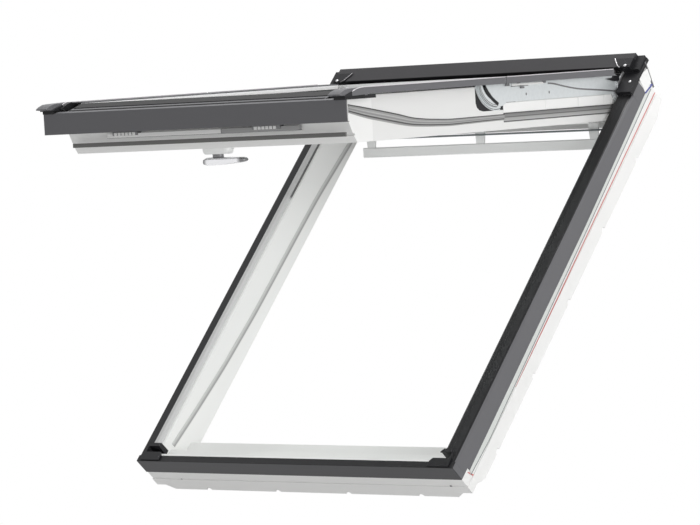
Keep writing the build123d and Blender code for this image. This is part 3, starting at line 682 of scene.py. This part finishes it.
# Circles of one radius round a line in the side plane: cosine along its normal, sine across
def tube(line, x, radius, side, count=8):
    turn = loopTurn(count)
    normal = lineNormals(line)
    y = line[:, :1] + radius * np.cos(turn) * normal[:, :1]
    z = line[:, 1:] + radius * np.cos(turn) * normal[:, 1:]
    return atSash(side * (x + radius * np.sin(turn)) + 0 * y, y, z)


def addEdgeHighlights():
    upper = np.array(edge["upper"], float)
    for word, side in sides.items():
        line = smoothLine(edge["line"])
        # the bead moves outwards over the curved end of the cover
        share = np.clip((edge["liftStart"] - line[:, :1]) / edge["liftRun"], 0, 1)
        moved = edge["across"] + edge["lift"] * share
        addRings("coverEdgeHighlight" + word, tube(line, moved, edge["radius"], side), "edgeLight", "sash",
                 "dark_sheet")
        addRings("armCoverEdgeHighlight" + word, tube(upper, edge["across"], edge["radius"], side), "edgeLight",
                 "arms", "dark_sheet")


# Glazing beads beside the pane, painted bright white to stand in for the lit and reflected band along the
# pane's edge, and the black gasket on the slope of the front cover
bead = {
    "inner": 316.6,
    "outer": 317.9,
    "low": 6.2,
    "high": 15.8,
    "along": (47, 797),
    "end": (797.5, 799.0),
    "border": (46.0, 102.0),
    "borderAbove": (6.03, 6.25),
    "borderInset": 0.2,
    "slope": [(22, 6.9), (46.5, 14.6), (46.5, 16.0), (22, 8.2)],
    "foot": [(9, 2.9), (12, 3.8), (12, 4.8), (9, 3.9)],
    "half": 314.0,
}


def addBeads():
    for word, side in sides.items():
        x = across(side, bead["inner"], bead["outer"])
        addBoxes("glazingBead" + word, [(*x, *bead["along"], bead["low"], bead["high"])], atSash,
                 "beadWhite", "sash", "steel", bevel=0.3)
    addBoxes("glazingBeadTop", [(-bead["inner"], bead["inner"], *bead["end"], bead["low"], bead["high"])],
             atSash, "beadWhite", "sash", "steel", bevel=0.3)
    half = bead["inner"] - bead["borderInset"]
    addBoxes("paneBorder", [(-half, half, *bead["border"], *bead["borderAbove"])], atSash, "paneBorder",
             "sash", "black_rubber")
    addPrism("slopeGasket", bead["slope"], -bead["half"], bead["half"], "x", atSash, "blackRubber", "sash",
             "black_rubber", bevel=0.5)
    addPrism("slopeFold", bead["foot"], -bead["half"], bead["half"], "x", atSash, "blackRubber", "sash",
             "black_rubber")


# Front ends of the side covers: a wing that runs out to a tip, the cover's curved end and a black filler,
# with a light line along the black dome's top edge as a painted highlight
tip = {
    "wing": [(60, 18.0), (34, 19.2), (10, 18.4), (-1, 17.4), (-12, 13.4), (-19, 9.0), (-18, 7.4),
             (-3.5, 5.8), (37, 4.4), (60, 4.4)],
    "wingAcross": (345.2, 373.2),
    "end": [(15.4, 12.9), (21.2, 16.2), (32.6, 18.8), (50.5, 19.2), (50.5, 6.0), (30, 5.2), (15.4, 5.0)],
    "endAcross": (372.4, 374.2),
    "dome": [(12, 7), (16, 10.2), (21, 13), (30, 17.2), (40.6, 19.6), (50, 17.2), (59, 13), (66, 6),
             (23, 4)],
    "domeAcross": (336.0, 345.0),
    "rim": [(12, 7.4), (16, 10.6), (21, 13.4), (30, 17.6), (40.6, 20.0)],
    "rimAcross": 344.8,
    "rimRadius": 0.7,
    "fill": [(-2, 5.6), (84, 5.6), (84, -1), (-2, -1)],
    "fillAcross": (344.6, 371.6),
}


def addTips():
    for word, side in sides.items():
        pieces = (("wing", "darkSheet", "coverWing", 1.2), ("end", "darkSheet", "coverEnd", 0.5),
                  ("dome", "blackPlastic", "coverDome", 0.8), ("fill", "blackRubber", "coverFill", 0.4))
        for part, finish, name, bevel in pieces:
            x = across(side, *tip[part + "Across"])
            addPrism(name + word, tip[part], *x, "x", atSash, finish, "sash", "black_plastic", bevel=bevel)
        rim = smoothLine(tip["rim"], 40, 5)
        ring = tube(rim, tip["rimAcross"], tip["rimRadius"], side)
        addRings("coverRimHighlight" + word, ring, "edgeLight", "sash", "black_plastic")


# Soft strip in the groove of the sash's bottom rail, seen as a grey band
railStrip = {
    "across": (-326.0, 343.6),
    "outline": [(26.5, -58.8), (30.5, -58.8), (30.5, -66.6), (26.5, -66.6)],
}

# Lock cases and the sliding bar under the front cover
lock = {
    "cases": ((-220, -158, 24.0, 36.0, -47.6, -40.6), (126, 192, 24.0, 36.0, -47.6, -39.6)),
    "teeth": (5.0, 9.2, 6.6, 22.8, -47.4, -41.8),  # start, step, width, front, low, high
    "toothCount": 6,
    "toothDepth": 2.0,
    "bar": (-236, 48, 26.4, 36.0, -51.2, -43.6),
    "barFoot": ((-237, 48.4, 27.4, 36.0, -52.0, -51.0), (48.3, 50.1, 26.2, 36.0, -51.2, -43.0),
                (50.0, 235, 27.4, 36.0, -51.9, -50.8)),
    "end": (50, 234, 26.4, 36.0, -51.0, -42.6),
}


def addRail():
    band = addPrism("railStrip", railStrip["outline"], *railStrip["across"], "x", atSash, "railRubber",
                    "sash", "black_rubber", bevel=0.6)
    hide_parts("rail_gasket")
    for word, case in zip(("left", "right"), lock["cases"]):
        shell = addBoxes("lockCase" + word.title(), [case], atSash, "barDark", "sash", "steel", bevel=0.6)
        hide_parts("lock_fitting_" + word)
    first, step, width, y, low, high = lock["teeth"]
    starts = [case[0] + first + step * k for case in lock["cases"] for k in range(lock["toothCount"])]
    teeth = [(x, x + width, y, y + lock["toothDepth"], low, high) for x in starts]
    addBoxes("lockTeeth", teeth, atSash, "sashWhite", "sash", "steel", bevel=0.3)
    shaft = addBoxes("lockBar", [lock["bar"]], atSash, "sashWhite", "sash", "steel", bevel=0.4)
    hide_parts("lock_rail")
    addBoxes("lockBarEnd", [lock["end"]], atSash, "barMid", "sash", "steel", bevel=0.4)
    addBoxes("lockBarFoot", lock["barFoot"], atSash, "barDark", "sash", "steel")


# Handle: an oval base under the rail and a lever that thins towards its end
handle = {
    "base": (-47.0, 22.0, 84.0, 13.0, -79.0, -90.5),
    "neck": (-25.0, -2.0, 84.0, 8.0, -90.0, -96.5),
    "stations": (-48, -45, -38, -24, 4, 30, 46, 52, 56),
    "top": (-103, -99.5, -96.5, -96.2, -96.6, -97.0, -97.4, -98.5, -101),
    "low": (-107, -109.5, -111.0, -111.2, -110.2, -108.6, -106.8, -105.8, -103.5),
    "half": (5, 8, 10, 10.5, 10, 9.5, 9, 7.5, 4.5),
    "baseDraws": (0, 0, 0.3, 1.6, 4.0),
    "neckDraws": (0, 0.4, 0.4, 0),
    "power": 0.6,
}


# Stadium outlines between x0 and x1, evenly spaced from top to low, each drawn in by its own amount
def ovalRings(x0, x1, along, radius, top, low, draws):
    turn = loopTurn(40)
    shift = np.where(np.cos(turn) > 0, x1 - radius, x0 + radius)
    levels = np.linspace(top, low, len(draws))[:, None]
    draw = np.array(draws)[:, None]
    x = shift + (radius - draw) * np.cos(turn)
    y = along + (radius - draw) * np.sin(turn)
    return atSash(x + 0 * levels, y + 0 * levels, levels + 0 * x)


def addHandle():
    x0, x1, along, radius, top, low = handle["base"]
    base = addRings("handleBase", ovalRings(x0, x1, along, radius, top, low, handle["baseDraws"]),
                    "handleBase", "sash", "handle_metal", bevel=0.4)
    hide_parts("handle_base")
    x0, x1, along, radius, top, low = handle["neck"]
    addRings("handleNeck", ovalRings(x0, x1, along, radius, top, low, handle["neckDraws"]), "barDark",
             "handle", "handle_metal")
    turn = loopTurn(32)
    x, top, low, half = (np.array(handle[k], float)[:, None] for k in ("stations", "top", "low", "half"))
    # the section is a superellipse: |cos| to a power wide and |sin| to the same power high
    wide = np.sign(np.cos(turn)) * np.abs(np.cos(turn)) ** handle["power"]
    high = np.sign(np.sin(turn)) * np.abs(np.sin(turn)) ** handle["power"]
    y = handle["base"][2] + half * wide
    z = (top + low) / 2 + (top - low) / 2 * high
    lever = addRings("handleLever", atSash(x + 0 * y, y, z), "handleMetal", "handle", "handle_metal",
                     angle=60)
    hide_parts("handle_lever")


# Control bar of the vent: a round dark top edge over a pale face
bar = {"across": (-300.0, 300.0), "along": (837.7, 854.7), "above": (-98.4, -95.0)}


def addBar():
    box = (*bar["across"], *bar["along"], *bar["above"])
    addBoxes("ventBarTop", [box], atSash, "armLine", "vent", "bar_metal", bevel=0.7)


# Flashing lines on the outer side of the frame: a pale strip, a dark seam, a red line and marks at the head
outerLine = {
    "strip": [(944, -29), (823, -33.5), (601, -39.5), (28, -43), (24, -50), (107, -54), (609, -46.5),
              (944, -38)],
    "hem": [(850, -35.2), (850, -36.1), (601, -39.7), (28, -43.2), (28, -35.2)],
    "seam": [(940, -37.4), (667, -44.6), (609, -46.4), (107, -54), (24, -50), (24, -51.4), (107, -55.6),
             (609, -48), (667, -46.2), (940, -39)],
    "red": [(944, -53.0), (612, -54.2), (30, -60), (23, -42), (21.6, -42), (27, -61.8), (612, -55.6),
            (944, -54.4)],
    "patch": [(931, 1), (949, 0.5), (969.6, -7.8), (961, -27), (936, -30.2), (923, -27.6)],
    "blue": [(922, -27.6), (950, -34.4), (950, -37.6), (922, -31)],
    "rim": [(967, 8.4), (965.4, 1.3), (956, -22.7), (948, -43.2), (950.6, -43.2), (958.6, -22.7),
            (968, 1.3), (969.5, 8.4)],
}


# Each outer line's finish, and how far out its face stands; all start at lineBack
lineBack = 388.0
lineLayers = (
    ("hem", "darkSheet", 390.1),
    ("strip", "paleStrip", 390.25),
    ("seam", "armLine", 390.5),
    ("red", "redLine", 389.6),
    ("patch", "sashWhite", 390.6),
    ("blue", "blueLine", 390.8),
    ("rim", "barDark", 390.7),
)


def addLines():
    for word, side in sides.items():
        for part, finish, face in lineLayers:
            addPrism(part + "Line" + word, outerLine[part], *across(side, lineBack, face), "x", atFrame,
                     finish, "frame", "frame_white")


# Bent plate over each end of the hood, with a light line along its rim as a painted highlight, and two
# screws
headPlate = {
    "top": [(331, 965), (352, 963), (372, 946), (351, 944.6), (340, 952)],
    "topLow": 24.2,
    "topHigh": 25.2,
    "rim": [(330.5, 965.6), (334, 960), (338.3, 954.4), (345, 946), (351, 943)],
    "rimAcross": 0.3,
    "rimRadius": 0.9,
    "screws": ((362.2, 946.6, 25.0), (377.0, 918.8, 8.5)),
    "screwSection": [(-0.5, 3.0), (0.9, 3.0), (1.8, 1.8)],  # height, radius
}


def addHeadPlate():
    turn = loopTurn(16)
    for word, side in sides.items():
        outline = [(side * x, y) for x, y in headPlate["top"]]
        addPrism("headPlate" + word, outline, headPlate["topLow"], headPlate["topHigh"], "z", atFrame,
                 "blackPlastic", "frame", "black_plastic", bevel=0.4)
        path = smoothLine(headPlate["rim"], 30, 5)
        radius = headPlate["rimRadius"]
        x = side * path[:, :1] + radius * np.cos(turn)
        y = path[:, 1:] + headPlate["rimAcross"] * np.cos(turn)
        z = headPlate["topHigh"] + radius * np.sin(turn) + 0 * x
        addRings("headPlateRimHighlight" + word, atFrame(x, y, z), "edgeLight", "frame", "black_plastic")
        for index, (x, y, z) in enumerate(headPlate["screws"]):
            level = np.array(headPlate["screwSection"]) + (z, 0.0)
            head = atFrame(side * x + level[:, 1:] * np.cos(turn), y + level[:, 1:] * np.sin(turn),
                           level[:, :1] + 0 * turn)
            addRings("headScrew%d%s" % (index + 1, word), head, "steel", "frame", "steel")


# Grey gasket line on the inner face of each frame stile, falling towards the foot; its ramp darkens softly
# to a dark line, painted shade of the step beside it
soft = {
    "upper": [(870, -68.0), (852, -66.8), (712, -57.0), (633, -55.3), (415, -52.0), (270, -45.0),
              (150, -34.0), (60, -24.0)],
    "width": 11.5,
    "back": 349.6,
    "face": 348.0,
}


def addSoftLines():
    upper = smoothLine(soft["upper"])
    lower = upper - np.array([0.0, soft["width"]])
    for word, side in sides.items():
        band = addBand("frameGasketLine" + word, upper, lower, soft["back"], soft["face"], side, atFrame,
                       "softRibs", "frame", "grey_rubber", steps=7)
        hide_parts("frame_gasket_" + word.lower())


# Fine marks on the outer faces of the rails: dark discs and bars, painted shade for screw holes and end
# slots
marks = {
    "holes": ((-314.0, -59.3), (351.0, -57.0)),
    "slots": ((-358, -272, -72.0), (303, 388, -71.0)),
    "face": 1.0,
    "ring": [(0.0, 2.6), (0.6, 2.6), (0.6, 1.8)],  # depth, radius
    "slotDepth": (0.6, 2.6),
    "slotHalf": 0.8,
}


def addMarks():
    turn = loopTurn(16)
    ring = np.array(marks["ring"])
    for index, (x, z) in enumerate(marks["holes"]):
        y = marks["face"] - ring[:, :1] + 0 * turn
        hole = atFrame(x + ring[:, 1:] * np.cos(turn), y, z + ring[:, 1:] * np.sin(turn))
        addRings("railHoleShade%d" % (index + 1), hole, "barDark", "frame", "frame_white")
    half = marks["slotHalf"]
    slots = [(a, b, *marks["slotDepth"], z - half, z + half) for a, b, z in marks["slots"]]
    addBoxes("railSlotShades", slots, atFrame, "barDark", "frame", "frame_white")


addGaskets()
addStrips()
addGuideArcs()
addArms()
addEdgeHighlights()
addBeads()
addTips()
addRail()
addHandle()
addBar()
addLines()
addHeadPlate()
addSoftLines()
addMarks()
print("pieces done")


# One where the camera, a mirror ray or a ray through glass looks, and nought elsewhere
def seenDirectly(graph):
    paths = graph.add("ShaderNodeLightPath").outputs
    view, shiny, through = (graph.value(paths[kind + " Ray"])
                            for kind in ("Is Camera", "Is Glossy", "Is Transmission"))
    return (view + shiny + through).clamp()


def addCamera():
    data = bpy.data.cameras.new("camera")
    data.lens = camera["lens"]
    data.sensor_width = 36.0
    data.clip_end = 100.0
    obj = bpy.data.objects.new("camera", data)
    right, down, forward = (Vector(camera[k]) for k in ("right", "down", "forward"))
    turn = Matrix((right, -down, -forward)).transposed().to_4x4()
    obj.matrix_world = Matrix.Translation(camera["location"]) @ turn
    bpy.context.scene.collection.objects.link(obj)
    bpy.context.scene.camera = obj


def addArea(name, location, target, size, power):
    data = bpy.data.lights.new(name, "AREA")
    data.shape = "RECTANGLE"
    data.size, data.size_y = size
    data.energy = power
    obj = bpy.data.objects.new(name, data)
    direction = Vector(target) - Vector(location)
    turn = direction.to_track_quat("-Z", "Y").to_matrix().to_4x4()
    obj.matrix_world = Matrix.Translation(location) @ turn
    bpy.context.scene.collection.objects.link(obj)


def addWorld():
    world = bpy.data.worlds.new("studio")
    bpy.context.scene.world = world
    world.use_nodes = True
    graph = Graph(world.node_tree)
    seen = seenDirectly(graph)
    vector = graph.add("ShaderNodeTexCoord").outputs["Generated"]
    split = graph.add("ShaderNodeSeparateXYZ", Vector=vector)
    right, up = graph.value(split.outputs[0]), graph.value(split.outputs[2])
    # the light comes from the horizon, more from the right, and little from the zenith
    level = right * light["fromRight"] + light["level"]
    level = (level - up.clamp() * light["zenith"]).math("MAXIMUM", 0.05)
    strength = level * (1.0 - seen) + seen
    background = graph.add("ShaderNodeBackground", Color=(1.0, 1.0, 1.0, 1.0))
    graph.join(background, "Strength", strength)
    out = graph.add("ShaderNodeOutputWorld")
    graph.tree.links.new(background.outputs[0], out.inputs["Surface"])


def addFloor():
    mesh = bpy.data.meshes.new("floor")
    half = light["floorHalf"]
    corners = [(-half, -half, 0), (half, -half, 0), (half, half, 0), (-half, half, 0)]
    mesh.from_pydata(corners, [], [(0, 1, 2, 3)])
    obj = bpy.data.objects.new("floor", mesh)
    bpy.context.scene.collection.objects.link(obj)
    material, graph = newMaterial("floor")
    white = graph.add("ShaderNodeEmission", Color=(1.0, 1.0, 1.0, 1.0), Strength=1.0)
    pale = graph.add("ShaderNodeBsdfDiffuse", Color=light["floor"])
    mix = graph.add("ShaderNodeMixShader")
    graph.join(mix, "0", seenDirectly(graph))
    graph.tree.links.new(pale.outputs[0], mix.inputs[1])
    graph.tree.links.new(white.outputs[0], mix.inputs[2])
    graph.finish(mix.outputs[0])
    mesh.materials.append(material)


addCamera()
for name, lamp in lamps.items():
    addArea(name, *lamp)
addWorld()
addFloor()
bpy.context.scene.view_settings.view_transform = "Standard"
print("studio done")
